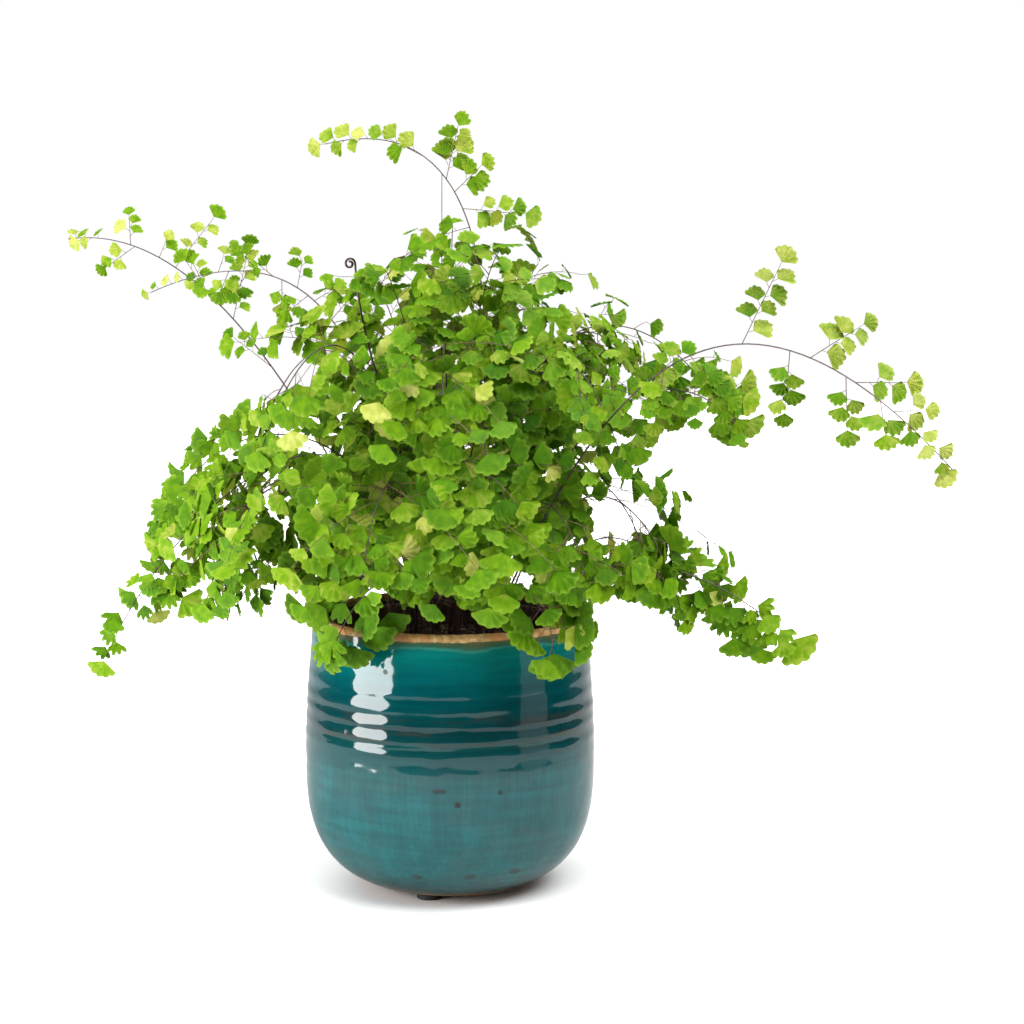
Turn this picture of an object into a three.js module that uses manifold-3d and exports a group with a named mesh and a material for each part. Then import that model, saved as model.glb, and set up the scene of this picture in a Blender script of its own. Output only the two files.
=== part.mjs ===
import * as THREE from 'three';
import { mergeVertices } from 'three/addons/utils/BufferGeometryUtils.js';
import Module from 'manifold-3d';

// A maidenhair fern in a round glazed pot. Millimetres, +Z up, the photographed side towards -Y.
// The origin is on the pot's axis, on the surface that the three rubber pads stand on.

// Glazed pot, thrown on a wheel, with an even wall and shallow throwing ridges on its upper half
const POT_RADIUS = 70;
const POT_TOP = 134;
const POT_WALL = 5;
const POT_SIDES = 28;
const BELLY_HEIGHT = 66;
const BASE_ROUNDING = 66.8;
const NECK_DRAW_IN = 4;
const NECK_CURVE = 1.6;
const FOOT_RADIUS = 38;
const FOOT_RECESS_RADIUS = 24;
const FOOT_RECESS_DEPTH = 1.5;
const INNER_FLOOR = 12;
const INNER_CORNER = 3;
const RIDGE_PITCH = 9.6;
const RIDGE_DEPTH = 0.5;
const RIDGES_FROM = 68;

// Heights at which the smooth wall's outside and inside are drawn
const OUTSIDE_HEIGHTS = [4.5, 8, 14, 22, 32, 44, 57];
const INSIDE_HEIGHTS = [131, 66, 28];

// Rounded section of the bare clay lip, as [in from the wall's outside, up from the glaze's edge]
const LIP_HEIGHT = 3;
const LIP = [[0, 0], [1, 2.4], [2.5, LIP_HEIGHT], [4.4, 2.2]];

// Rubber pads under the foot
const PAD_COUNT = 3;
const PAD_RADIUS = 6;
const PAD_HEIGHT = 3;
const PAD_SIDES = 12;
const PAD_CIRCLE = 31;
const FIRST_PAD_BEARING = 252;

// Plastic nursery pot that stands inside, with four drain holes
const LINER_BASE_RADIUS = 44;
const LINER_TOP_RADIUS = 56.5;
const LINER_FLANGE_RADIUS = 59.5;
const LINER_FLANGE_HEIGHT = 3;
const LINER_TOP = 129.3;
const LINER_WALL = 1.2;
const LINER_SIDES = 20;
const DRAIN_COUNT = 4;
const DRAIN_RADIUS = 4.5;
const DRAIN_SIDES = 8;
const DRAIN_CIRCLE = 28;

// Potting soil, a low mound that the stems rise from, clear of the nursery pot's wall all round
const SOIL_EDGE = 118;
const SOIL_CROWN = 125;
const SOIL_CLEARANCE = 0.7;
const MOUND_SHARES = [0.75, 0.45];

// Stems, of straight lengths between joints, the lowest of them bare
const ROOT_HEIGHT = 110;
const STEM_RADIUS = 1.3;
const STEM_SIDES = 3;
const STEM_STEP = 37;
const BARE_JOINTS = 3;

// Pinnae: the rib, and where one forks off, arches and hangs, in degrees and in shares of its length
const BLADE_THICKNESS = 0.7;
const RIB_HALF_WIDTH = 0.6;
const STALK = 8;
const SIDE_FORK = 0.5;
const TERMINAL_FORK = 0.94;
const TERMINAL_LEAFLETS = 2;
const BRANCH_ANGLE = 52;
const BRANCH_SPREAD = 10;
const TWIST_SPREAD = 30;
const FACE_RISE = 0.4;
const ARCH_MIDDLE = 0.5;
const ARCH_END = 0.92;
const DROOP = 0.28;

// Leaflets: spacing, stalk and waves in leaflet sizes, lean from the rib in degrees. A margin's points
// are at [degrees from the leaflet's middle, share of its size].
const LEAFLET_PITCH = 0.54;
const END_STALK = 0.35;
const LEAFLET_FOOT = 1.2;
const LEAN = 61;
const LEAN_SPREAD = 5;
const SIZES = [0.9, 1.02];
const SIDE_MARGIN = [[42, 0.88], [2, 0.95], [-38, 0.92]];
const NOTCH_SPREAD = 0.13;
const END_MARGIN = [[36, 0.9], [0, 1], [-36, 0.9]];
const WAVE_HEIGHT = 0.3;
const WAVES = 2.6;
const WAVE_SHIFT = 1.3;

// Clear space between pieces that meet or pass each other, and the finest detail kept where blades
// join a stem
const GAP = 0.3;
const SLIVER = 0.1;

// Fronds that stand out in the outline. Each stem rises from the soil at its root distance from the
// pot's axis and arches in the upright plane of its bearing (0 is +X, 90 is +Y, 270 faces the viewer).
// Bends and tip are given as [distance out from the pot's axis, height]. The leafy part is turned to
// the bearing it faces, and pinnae gives the side leaflets of each pinna from the lowest up.
const OUTER_FRONDS = [
  { name: 'frond_upper_left', bearing: 137, root: 18, bends: [[77, 204], [166, 320]], tip: [288, 305],
    leaflet: 13, faces: 270, pinnae: [3, 3, 2, 2] },
  { name: 'frond_left_second', bearing: 151, root: 13, bends: [[35, 234], [54, 330]], tip: [174, 283],
    leaflet: 13, faces: 270, pinnae: [4, 3, 3, 2] },
  { name: 'frond_top', bearing: 170, root: 2, bends: [[-30, 260], [-30, 380]], tip: [60, 358],
    leaflet: 13, faces: 270, pinnae: [3, 3, 2] },
  { name: 'frond_right_long', bearing: 317.3, root: 18, bends: [[91, 254], [167, 327]], tip: [288, 227],
    leaflet: 14, faces: 270, pinnae: [4, 4, 3, 3, 2] },
  { name: 'frond_right_droop', bearing: 338, root: 20, bends: [[30, 200], [110, 300]], tip: [157, 211],
    leaflet: 16, faces: 270, pinnae: [4, 3, 2] },
  { name: 'frond_right_low', bearing: 348, root: 27, bends: [[52, 172], [118, 176]], tip: [173, 119],
    leaflet: 15, faces: 270, pinnae: [4, 4, 3] },
  { name: 'frond_left_low', bearing: 195, root: 22, bends: [[21, 297], [142, 184]], tip: [168, 115],
    leaflet: 14, faces: 270, pinnae: [4, 4, 3, 2] },
  { name: 'frond_left_arch', bearing: 173, root: 20, bends: [[10, 230], [110, 262]], tip: [142, 175],
    leaflet: 16, faces: 270, pinnae: [4, 3, 2] },
  { name: 'frond_right_high', bearing: 20, root: 13, bends: [[10, 290], [95, 330]], tip: [152, 231],
    leaflet: 16, faces: 270, pinnae: [4, 3, 2] },
  { name: 'frond_front_left', bearing: 235, root: 27, bends: [[26, 185], [82, 147]], tip: [93, 121],
    leaflet: 19, faces: 235, pinnae: [3, 2] },
  { name: 'frond_front_right', bearing: 300, root: 27, bends: [[24, 182], [119, 150]], tip: [96, 116],
    leaflet: 20, faces: 300, pinnae: [3, 2] },
  { name: 'frond_front_centre', bearing: 281, root: 26, bends: [[30, 260], [130, 260]], tip: [104, 155],
    leaflet: 21, faces: 270, pinnae: [4, 3, 2] },
];

// The crown between them, in rings of like fronds that lean out more the further from the axis they root
const RINGS = [
  { name: 'inner', count: 5, first: 14, root: 8, bends: [[9, 190], [16, 275]], tip: [52, 306],
    leaflet: 18, pinnae: [3, 2, 2] },
  { name: 'middle', count: 7, first: 12, root: 16, bends: [[22, 235], [62, 325]], tip: [106, 222],
    leaflet: 20.5, pinnae: [4, 3, 2] },
  { name: 'outer', count: 8, first: 32, root: 23, bends: [[38, 200], [94, 240]], tip: [122, 146],
    leaflet: 20.5, pinnae: [4, 3] },
  { name: 'low', count: 4, first: 8, root: 29, bends: [[46, 168], [86, 182]], tip: [108, 128],
    leaflet: 19, pinnae: [3, 2] },
];
const RING_BEARING_SPREAD = 6;
const RING_REACH_SPREAD = 0.07;
const RING_LIFT = 120;

// Young frond still coiled at its tip
const CROZIER = { bearing: 205, root: 5, bends: [[8, 190], [44, 250]], tip: [50, 298] };
const CROZIER_RADIUS = 1;
const CROZIER_STEPS = 7;
const CROZIER_COIL_RADIUS = 4.6;
const CROZIER_COIL_SIDES = 4;
const CROZIER_COIL_STEPS = 12;
const CROZIER_TURNS = 1.3;
const CROZIER_TIGHTENING = 0.66;

const UP = new THREE.Vector3(0, 0, 1);
const CROWN_CENTRE = new THREE.Vector3(0, 0, 165);
const wasm = await Module();
wasm.setup();

function material(colour, roughness) {
  return new THREE.MeshStandardMaterial({ color: colour, roughness, metalness: 0 });
}

const glaze = () => material(0x1f7375, 0.15);
const rubber = () => material(0x151515, 0.9);
const plastic = () => material(0x4a3226, 0.55);
const soilMix = () => material(0x2a1e16, 0.95);
const leaf = () => material(0x6fa03a, 0.55);

// A repeatable number from 0 to 1 for each seed
function chance(seed) {
  const wave = Math.sin(seed * 12.9898 + 4.1414) * 43758.5453;
  return wave - Math.floor(wave);
}

const between = (low, high, seed) => low + (high - low) * chance(seed);

// The closed solid that a geometry encloses
function solid(geometry) {
  const bare = geometry.clone();
  bare.deleteAttribute('normal');
  bare.deleteAttribute('uv');
  const merged = mergeVertices(bare, 1e-4);
  const corners = merged.index.array;
  const kept = [];
  for (let i = 0; i < corners.length; i += 3) {
    const [a, b, c] = [corners[i], corners[i + 1], corners[i + 2]];
    if (a !== b && b !== c && c !== a) kept.push(a, b, c);
  }
  const vertProperties = Float32Array.from(merged.attributes.position.array);
  const triVerts = Uint32Array.from(kept);
  return new wasm.Manifold(new wasm.Mesh({ numProp: 3, vertProperties, triVerts }));
}

function geometryOf(body) {
  const { vertProperties, triVerts } = body.getMesh();
  const geometry = new THREE.BufferGeometry();
  geometry.setAttribute('position', new THREE.BufferAttribute(vertProperties, 3));
  geometry.setIndex(new THREE.BufferAttribute(triVerts, 1));
  geometry.computeVertexNormals();
  return geometry;
}

// A solid of revolution about Z from [radius, height] pairs, listed upwards on the outside
function turned(profile, sides) {
  const points = profile.map(([radius, height]) => new THREE.Vector2(radius, height));
  return solid(new THREE.LatheGeometry(points, sides).rotateX(Math.PI / 2));
}

// The glazed wall's outside: a full round base, then a neck that draws in slightly
function potRadius(height) {
  if (height < BELLY_HEIGHT) {
    const drop = (BELLY_HEIGHT - height) / BASE_ROUNDING;
    return POT_RADIUS * Math.cbrt(1 - drop ** 3);
  }
  const rise = (height - BELLY_HEIGHT) / (POT_TOP - LIP_HEIGHT - BELLY_HEIGHT);
  return POT_RADIUS - NECK_DRAW_IN * rise ** NECK_CURVE;
}

function makePot() {
  const wallTop = POT_TOP - LIP_HEIGHT;
  const profile = [
    [0, PAD_HEIGHT + FOOT_RECESS_DEPTH],
    [FOOT_RECESS_RADIUS, PAD_HEIGHT + FOOT_RECESS_DEPTH],
    [FOOT_RECESS_RADIUS + 1, PAD_HEIGHT],
    [FOOT_RADIUS, PAD_HEIGHT],
  ];
  for (const height of OUTSIDE_HEIGHTS) profile.push([potRadius(height), height]);
  let ridge = 1;
  for (let height = RIDGES_FROM; height < wallTop - RIDGE_PITCH / 2; height += RIDGE_PITCH / 2) {
    profile.push([potRadius(height) + (ridge * RIDGE_DEPTH) / 2, height]);
    ridge = -ridge;
  }
  for (const [inwards, up] of LIP) profile.push([potRadius(wallTop) - inwards, wallTop + up]);
  for (const height of INSIDE_HEIGHTS) profile.push([potRadius(height) - POT_WALL, height]);
  profile.push([potRadius(INNER_FLOOR) - POT_WALL - INNER_CORNER, INNER_FLOOR], [0, INNER_FLOOR]);
  return turned(profile, POT_SIDES);
}

function makeLiner() {
  const base = INNER_FLOOR + GAP;
  const flangeBase = LINER_TOP - LINER_FLANGE_HEIGHT;
  const shell = turned([
    [0, base],
    [LINER_BASE_RADIUS, base],
    [LINER_TOP_RADIUS, flangeBase],
    [LINER_FLANGE_RADIUS, flangeBase],
    [LINER_FLANGE_RADIUS, LINER_TOP],
    [LINER_TOP_RADIUS - LINER_WALL, LINER_TOP],
    [LINER_BASE_RADIUS - LINER_WALL, base + LINER_WALL],
    [0, base + LINER_WALL],
  ], LINER_SIDES);
  const drain = new THREE.CylinderGeometry(DRAIN_RADIUS, DRAIN_RADIUS, 6 * LINER_WALL, DRAIN_SIDES);
  drain.rotateX(Math.PI / 2).translate(DRAIN_CIRCLE, 0, base);
  let liner = shell;
  for (let hole = 0; hole < DRAIN_COUNT; hole += 1) {
    liner = liner.subtract(solid(drain));
    drain.rotateZ((2 * Math.PI) / DRAIN_COUNT);
  }
  return liner;
}

function makeSoil(stems) {
  const base = INNER_FLOOR + GAP + LINER_WALL + GAP;
  const lean = (LINER_TOP_RADIUS - LINER_BASE_RADIUS) / (LINER_TOP - INNER_FLOOR - GAP);
  const foot = LINER_BASE_RADIUS - LINER_WALL - SOIL_CLEARANCE;
  const edge = foot + lean * (SOIL_EDGE - base);
  const mound = (share) => SOIL_EDGE + (SOIL_CROWN - SOIL_EDGE) * (1 - share * share);
  const profile = [[0, base], [foot, base], [edge, SOIL_EDGE]];
  for (const share of MOUND_SHARES) profile.push([edge * share, mound(share)]);
  profile.push([0, SOIL_CROWN]);
  return stems.reduce((soil, stem) => soil.subtract(stem.hole), turned(profile, LINER_SIDES));
}

function makePad(index) {
  const turn = THREE.MathUtils.degToRad(FIRST_PAD_BEARING + (index * 360) / PAD_COUNT);
  const height = PAD_HEIGHT - GAP;
  const pad = new THREE.CylinderGeometry(PAD_RADIUS, PAD_RADIUS, height, PAD_SIDES).rotateX(Math.PI / 2);
  return solid(pad.translate(PAD_CIRCLE * Math.cos(turn), PAD_CIRCLE * Math.sin(turn), height / 2));
}

// A point in the upright plane of a bearing
function place(bearing, [out, height]) {
  const turn = THREE.MathUtils.degToRad(bearing);
  return new THREE.Vector3(out * Math.cos(turn), out * Math.sin(turn), height);
}

function stemCurve({ bearing, root, bends, tip }) {
  const points = [[root, ROOT_HEIGHT], ...bends, tip].map((point) => place(bearing, point));
  return new THREE.CubicBezierCurve3(...points);
}

function section(radius, sides) {
  const shape = new THREE.Shape();
  shape.absarc(0, 0, radius, 0, Math.PI * 2);
  return new THREE.Shape(shape.getSpacedPoints(sides).slice(0, sides));
}

function tube(path, radius, sides, steps) {
  const along = { steps, extrudePath: path, bevelEnabled: false };
  return solid(new THREE.ExtrudeGeometry(section(radius, sides), along));
}

// The first part of a curve, as a curve of its own
class Stretch extends THREE.Curve {
  constructor(curve, share) {
    super();
    this.curve = curve;
    this.share = share;
  }

  getPoint(share, target = new THREE.Vector3()) {
    return this.curve.getPoint(this.share * share, target);
  }
}

// The plain hole in the soil that a stem's foot stands in, up to the first joint above the soil
function stemHole(path, steps) {
  const room = GAP / Math.cos(Math.PI / STEM_SIDES);
  const chords = [];
  for (let joint = 0; joint === 0 || path.getPointAt(joint / steps).z < SOIL_CROWN; joint += 1) {
    const [from, to] = [path.getPointAt(joint / steps), path.getPointAt((joint + 1) / steps)];
    from.addScaledVector(to.clone().sub(from).normalize(), -room);
    chords.push(tube(new THREE.LineCurve3(from, to), STEM_RADIUS + room, STEM_SIDES, 1));
  }
  return chords.reduce((hole, chord) => hole.add(chord));
}

function makeStem(frond) {
  const curve = stemCurve(frond);
  const terminalLength = pinnaLength(TERMINAL_LEAFLETS, frond.leaflet);
  const path = new Stretch(curve, curve.getUtoTmapping(1 - terminalLength / curve.getLength()));
  const steps = Math.max(Math.round(path.getLength() / STEM_STEP), frond.pinnae.length + BARE_JOINTS);
  const body = tube(path, STEM_RADIUS, STEM_SIDES, steps);
  return { frond, path, steps, body, hole: stemHole(path, steps) };
}

// A point of a leaflet's margin, as [across, along] the rib from the leaflet's foot
function marginPoint(degrees, reach) {
  const angle = THREE.MathUtils.degToRad(degrees);
  return [reach * Math.sin(angle), reach * Math.cos(angle)];
}

// The margin of a fan-shaped leaflet on one side of the rib, its middle either rounded out or notched
function sideLeaflet(foot, size, side, seed, lean) {
  const notch = between(-NOTCH_SPREAD, NOTCH_SPREAD, seed);
  return SIDE_MARGIN.map(([swing, share], corner) => {
    const reach = size * (corner === 1 ? share + notch : share);
    const [across, along] = marginPoint(lean + swing, reach);
    return [side * (RIB_HALF_WIDTH + across), foot + along];
  });
}

const pinnaLength = (leaflets, size) => STALK + ((leaflets + END_STALK) * LEAFLET_PITCH + 1) * size;

// A pinna's flat outline: leaflets on alternate sides, cut to the rib, and one at the end
function pinnaOutline(leaflets, size, seed) {
  const pitch = LEAFLET_PITCH * size;
  const right = [[RIB_HALF_WIDTH, -GAP]];
  const left = [[-RIB_HALF_WIDTH, -GAP]];
  for (let k = 0; k < leaflets; k += 1) {
    const foot = STALK + k * pitch;
    const side = (k + seed) % 2 === 0 ? 1 : -1;
    const lean = between(LEAN - LEAN_SPREAD, LEAN + LEAN_SPREAD, seed + 3 * k);
    const reach = size * between(...SIZES, seed + 7 * k);
    const list = side > 0 ? right : left;
    list.push([side * RIB_HALF_WIDTH, foot - LEAFLET_FOOT]);
    list.push(...sideLeaflet(foot, reach, side, seed + k, lean));
    list.push([side * RIB_HALF_WIDTH, foot + LEAFLET_FOOT]);
  }
  const end = pinnaLength(leaflets, size) - size;
  right.push([RIB_HALF_WIDTH, end]);
  left.push([-RIB_HALF_WIDTH, end]);
  const cap = END_MARGIN.map(([swing, share]) => {
    const [across, along] = marginPoint(swing, share * size);
    return [across, end + along];
  });
  return [...right, ...cap, ...left.reverse()];
}

// The triangles of a pinna's outline, as corner numbers: a fan for each leaflet, and the rib zipped up
// between its two sides, so that none of them is long where the rib arches
function pinnaTriangles(outline) {
  const triangles = [];
  const rib = outline.flatMap(([x], corner) => (Math.abs(x) === RIB_HALF_WIDTH ? corner : []));
  rib.slice(1).forEach((last, k) => {
    for (let corner = rib[k] + 1; corner < last; corner += 1) triangles.push([rib[k], corner, corner + 1]);
  });
  const right = rib.filter((corner) => outline[corner][0] > 0);
  const left = rib.filter((corner) => outline[corner][0] < 0).reverse();
  while (right.length + left.length > 2) {
    const rightNext = right.length > 1 ? outline[right[1]][1] : Infinity;
    const leftNext = left.length > 1 ? outline[left[1]][1] : Infinity;
    const climbing = rightNext <= leftNext ? right : left;
    triangles.push([left[0], right[0], climbing[1]]);
    climbing.shift();
  }
  return triangles;
}

// A flat blade of an outline, with both faces split into triangles alike and a wall round its edge
function flatBlade(outline, triangles, thickness) {
  const count = outline.length;
  const faces = triangles.flatMap(([a, b, c]) => [a, b, c, c + count, b + count, a + count]);
  const walls = outline.flatMap((_, corner) => {
    const next = (corner + 1) % count;
    return [corner + count, next + count, next, corner + count, next, corner];
  });
  const corners = [thickness / 2, -thickness / 2].flatMap((z) => outline.flatMap(([x, y]) => [x, y, z]));
  const blade = new THREE.BufferGeometry();
  blade.setAttribute('position', new THREE.Float32BufferAttribute(corners, 3));
  blade.setIndex([...faces, ...walls]);
  return blade;
}

// A pinna as one thin blade, arched along its axis, with its leaflets waved up and down
function pinnaSolid({ axis, side, leaflets, size, seed }, thickness) {
  const outline = pinnaOutline(leaflets, size, seed);
  const length = pinnaLength(leaflets, size);
  const blade = flatBlade(outline, pinnaTriangles(outline), thickness);
  const position = blade.attributes.position;
  const [point, ahead, across, normal] = [0, 0, 0, 0].map(() => new THREE.Vector3());
  for (let i = 0; i < position.count; i += 1) {
    const [x, y, z] = [position.getX(i), position.getY(i), position.getZ(i)];
    const share = y / length;
    axis.getPoint(share, point);
    axis.getPoint(share + 0.01, ahead).sub(point).normalize();
    across.copy(side).addScaledVector(ahead, -side.dot(ahead)).normalize();
    normal.crossVectors(across, ahead);
    const phase = seed + (y / size) * WAVES + Math.sign(x) * WAVE_SHIFT;
    const wave = Math.abs(x) * WAVE_HEIGHT * Math.sin(phase);
    point.addScaledVector(across, x).addScaledVector(normal, z + wave);
    position.setXYZ(i, point.x, point.y, point.z);
  }
  return solid(blade);
}

// The pinnae of one frond: by turns on both sides of the upper stem, smaller towards the tip, and
// the last one in line with it
function pinnaPlan({ frond, path, steps }, seed) {
  const counts = [...frond.pinnae, TERMINAL_LEAFLETS];
  return counts.map((leaflets, k) => {
    const terminal = k === frond.pinnae.length;
    const joint = Math.min(steps - frond.pinnae.length + k, steps - 1);
    const next = path.getPointAt((joint + 1) / steps);
    const start = path.getPointAt(joint / steps).lerp(next, terminal ? TERMINAL_FORK : SIDE_FORK);
    const ahead = path.getTangentAt((joint + 0.5) / steps);
    const toViewer = frond.faces !== undefined;
    const outward = toViewer ? place(frond.faces, [1, FACE_RISE]) : start.clone().sub(CROWN_CENTRE);
    const face = outward.normalize();
    const spread = new THREE.Vector3().crossVectors(toViewer ? face : UP, ahead).normalize();
    const tip = terminal ? place(frond.bearing, frond.tip) : null;
    const turn = 1 - 2 * ((k + seed) % 2);
    return { start, ahead, face, spread, turn, tip, leaflets, size: frond.leaflet, seed: seed + 11 * k };
  });
}

// Where a pinna may lie, from its natural place to ones that are swung, raised or twisted
const TRIALS = [0, -24, 16].flatMap((swing) => [0, 0.3, -0.3].flatMap((lift) => (
  [0, 25, -25, 50, -50, 80].map((twist) => ({ swing, lift, twist }))
)));

function layPinna({ start, ahead, face, spread, turn, tip, leaflets, size, seed }, trial) {
  const { swing, lift, twist } = TRIALS[trial % TRIALS.length];
  const fewer = Math.min(leaflets - 1, 2 * Math.floor(trial / TRIALS.length));
  const length = pinnaLength(leaflets - fewer, size);
  const degrees = BRANCH_ANGLE + swing + between(-BRANCH_SPREAD, BRANCH_SPREAD, seed);
  const fork = THREE.MathUtils.degToRad(degrees);
  const along = ahead.clone();
  if (!tip) {
    along.multiplyScalar(Math.cos(fork)).addScaledVector(spread, turn * Math.sin(fork));
    along.addScaledVector(face, lift).normalize();
  }
  const side = new THREE.Vector3().crossVectors(along, face).normalize();
  const roll = twist + between(-TWIST_SPREAD, TWIST_SPREAD, seed + 2);
  side.applyAxisAngle(along, THREE.MathUtils.degToRad(roll));
  const middle = start.clone().addScaledVector(along, ARCH_MIDDLE * length);
  const hanging = start.clone().addScaledVector(along, ARCH_END * length);
  hanging.addScaledVector(UP, -DROOP * length);
  const end = tip ? start.clone().lerp(tip, length / pinnaLength(leaflets, size)) : hanging;
  const axis = new THREE.QuadraticBezierCurve3(start, middle, end);
  return { axis, side, leaflets: leaflets - fewer, size, seed };
}

function boxesMeet(a, b) {
  return a.min.every((low, i) => low <= b.max[i] && b.min[i] <= a.max[i]);
}

const meets = (a, b) => boxesMeet(a.boundingBox(), b.boundingBox()) && !a.intersect(b).isEmpty();

// The crozier's coil, winding inwards from the stem's end in the same upright plane
class Coil extends THREE.Curve {
  constructor(from, heading, inward) {
    super();
    this.from = from;
    this.heading = heading;
    this.inward = inward;
  }

  getPoint(share, target = new THREE.Vector3()) {
    const radius = CROZIER_COIL_RADIUS * (1 - CROZIER_TIGHTENING * share);
    const angle = share * CROZIER_TURNS * 2 * Math.PI;
    target.copy(this.from).addScaledVector(this.inward, CROZIER_COIL_RADIUS - radius * Math.cos(angle));
    return target.addScaledVector(this.heading, radius * Math.sin(angle) - CROZIER_RADIUS);
  }
}

function makeCrozier() {
  const stem = stemCurve(CROZIER);
  const heading = stem.getTangent(1);
  const outward = place(CROZIER.bearing, [1, 0]);
  const inward = outward.addScaledVector(heading, -heading.dot(outward)).normalize();
  const coil = new Coil(stem.getPoint(1), heading, inward);
  const body = tube(stem, CROZIER_RADIUS, STEM_SIDES, CROZIER_STEPS);
  return {
    body: body.add(tube(coil, CROZIER_RADIUS, CROZIER_COIL_SIDES, CROZIER_COIL_STEPS)),
    hole: stemHole(stem, CROZIER_STEPS),
  };
}

const ringFronds = RINGS.flatMap((ring, tier) => Array.from({ length: ring.count }, (_, k) => {
  const seed = 100 * (tier + 1) + k;
  const stretch = 1 + between(-RING_REACH_SPREAD, RING_REACH_SPREAD, seed);
  const widen = ([out, height]) => [out * stretch, height + (stretch - 1) * RING_LIFT];
  const swing = between(-RING_BEARING_SPREAD, RING_BEARING_SPREAD, seed + 50);
  return {
    ...ring,
    name: `frond_${ring.name}_${k + 1}`,
    bearing: ring.first + (360 * k) / ring.count + swing,
    bends: ring.bends.map(widen),
    tip: widen(ring.tip),
  };
}));

const stems = [...OUTER_FRONDS, ...ringFronds].map(makeStem);
const crozier = makeCrozier();

const pot = makePot();
const liner = makeLiner();
const soil = makeSoil([...stems, crozier]);

// The pinnae are laid in turn, those at the stems' tips first, clear of all that is already there
const laid = [pot, liner, soil, crozier.body].map((body) => ({ owner: null, body }));
stems.forEach((stem) => laid.push({ owner: stem, body: stem.body }));
const plans = stems.flatMap((stem, index) => (
  pinnaPlan(stem, 20 + 13 * index).map((plan) => ({ owner: stem, plan }))
));
plans.sort((one, other) => Number(Boolean(other.plan.tip)) - Number(Boolean(one.plan.tip)));
for (const { owner, plan } of plans) {
  for (let trial = 0; trial < 2 * TRIALS.length; trial += 1) {
    const form = layPinna(plan, trial);
    const room = pinnaSolid(form, BLADE_THICKNESS + 2 * GAP);
    if (laid.some((other) => other.owner !== owner && meets(room, other.body))) continue;
    laid.push({ owner, body: pinnaSolid(form, BLADE_THICKNESS) });
    break;
  }
}
const foliage = stems.map((stem) => {
  const whole = wasm.Manifold.union(laid.filter(({ owner }) => owner === stem).map(({ body }) => body));
  const bodies = whole.asOriginal().simplify(SLIVER).decompose();
  bodies.sort((one, other) => other.volume() - one.volume());
  return { name: stem.frond.name, body: bodies[0] };
});

const fern = new THREE.Group();

function addPiece(name, body, finish) {
  const mesh = new THREE.Mesh(geometryOf(body), finish);
  mesh.name = name;
  fern.add(mesh);
}

addPiece('pot', pot, glaze());
for (let index = 0; index < PAD_COUNT; index += 1) {
  addPiece(`foot_pad_${index + 1}`, makePad(index), rubber());
}
addPiece('grow_pot', liner, plastic());
addPiece('soil', soil, soilMix());
addPiece('crozier', crozier.body, leaf());
foliage.forEach(({ name, body }) => addPiece(name, body, leaf()));

export default fern;
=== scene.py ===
import math
import random

import bpy
from mathutils import Matrix, Vector
from mathutils.geometry import interpolate_bezier


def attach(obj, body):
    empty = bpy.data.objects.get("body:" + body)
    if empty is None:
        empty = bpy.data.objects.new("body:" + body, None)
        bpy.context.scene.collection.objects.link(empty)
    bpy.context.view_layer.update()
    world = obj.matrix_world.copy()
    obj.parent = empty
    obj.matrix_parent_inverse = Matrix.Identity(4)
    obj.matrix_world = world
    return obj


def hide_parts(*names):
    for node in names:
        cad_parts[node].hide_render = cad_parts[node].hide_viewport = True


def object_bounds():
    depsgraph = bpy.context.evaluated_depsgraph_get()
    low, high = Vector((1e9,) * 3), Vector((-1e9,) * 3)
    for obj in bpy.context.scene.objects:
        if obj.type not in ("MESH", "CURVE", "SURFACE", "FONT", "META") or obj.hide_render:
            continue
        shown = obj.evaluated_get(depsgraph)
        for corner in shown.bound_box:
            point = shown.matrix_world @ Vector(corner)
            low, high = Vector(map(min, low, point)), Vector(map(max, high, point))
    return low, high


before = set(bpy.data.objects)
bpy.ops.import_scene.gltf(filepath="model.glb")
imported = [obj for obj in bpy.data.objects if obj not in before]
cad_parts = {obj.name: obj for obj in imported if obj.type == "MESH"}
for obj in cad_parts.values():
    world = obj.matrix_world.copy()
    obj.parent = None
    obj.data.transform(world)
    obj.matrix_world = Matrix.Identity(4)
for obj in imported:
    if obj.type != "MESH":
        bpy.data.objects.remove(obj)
cad_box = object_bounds()

# Camera. It stands 1.4 m in front of the pot, a little above its rim, and looks down by 7.8 degrees
# through a long lens, so the fern fills the square frame and the pot stands slightly left of its middle.
DISTANCE = 1.4
LOOK_DOWN = math.radians(7.8)
AIM = Vector((0.030, 0, 0.1825))
back = Vector((0, -math.cos(LOOK_DOWN), math.sin(LOOK_DOWN)))
bpy.ops.object.camera_add(location=AIM + DISTANCE * back, rotation=(math.radians(90) - LOOK_DOWN, 0, 0))
camera = bpy.context.object
camera.name = "camera"
camera.data.lens = 102.3
camera.data.sensor_width = 36
bpy.context.scene.camera = camera
bpy.context.scene.view_settings.view_transform = "Standard"


# Studio. A sheet of white card with a round front edge half a metre from the pot, white all round behind,
# and a dim room that the glaze mirrors. The card glows more and more towards the back, and a little on the
# left and away from the foot: painted light that washes out the shadows on the card except just right of
# the foot. In reflections the card shows plain grey, a painted reflection.
# A tall oval soft box stands beside the table on the left, a pale panel on the right, and a wide box hangs
# above.
def add_node(tree, kind, inputs=(), **settings):
    """A shader node with its settings, each input given a value or joined to a socket."""
    node = tree.nodes.new("ShaderNode" + kind)
    for name, value in settings.items():
        setattr(node, name, value)
    for name, value in dict(inputs).items():
        if isinstance(value, bpy.types.NodeSocket):
            tree.links.new(value, node.inputs[name])
        else:
            node.inputs[name].default_value = value
    return node


def calculate(tree, operation, *values):
    """The result of a sum on values or sockets."""
    return add_node(tree, "Math", enumerate(values), operation=operation).outputs[0]


def times(tree, *values):
    """Two values multiplied."""
    return calculate(tree, "MULTIPLY", *values)


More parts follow.
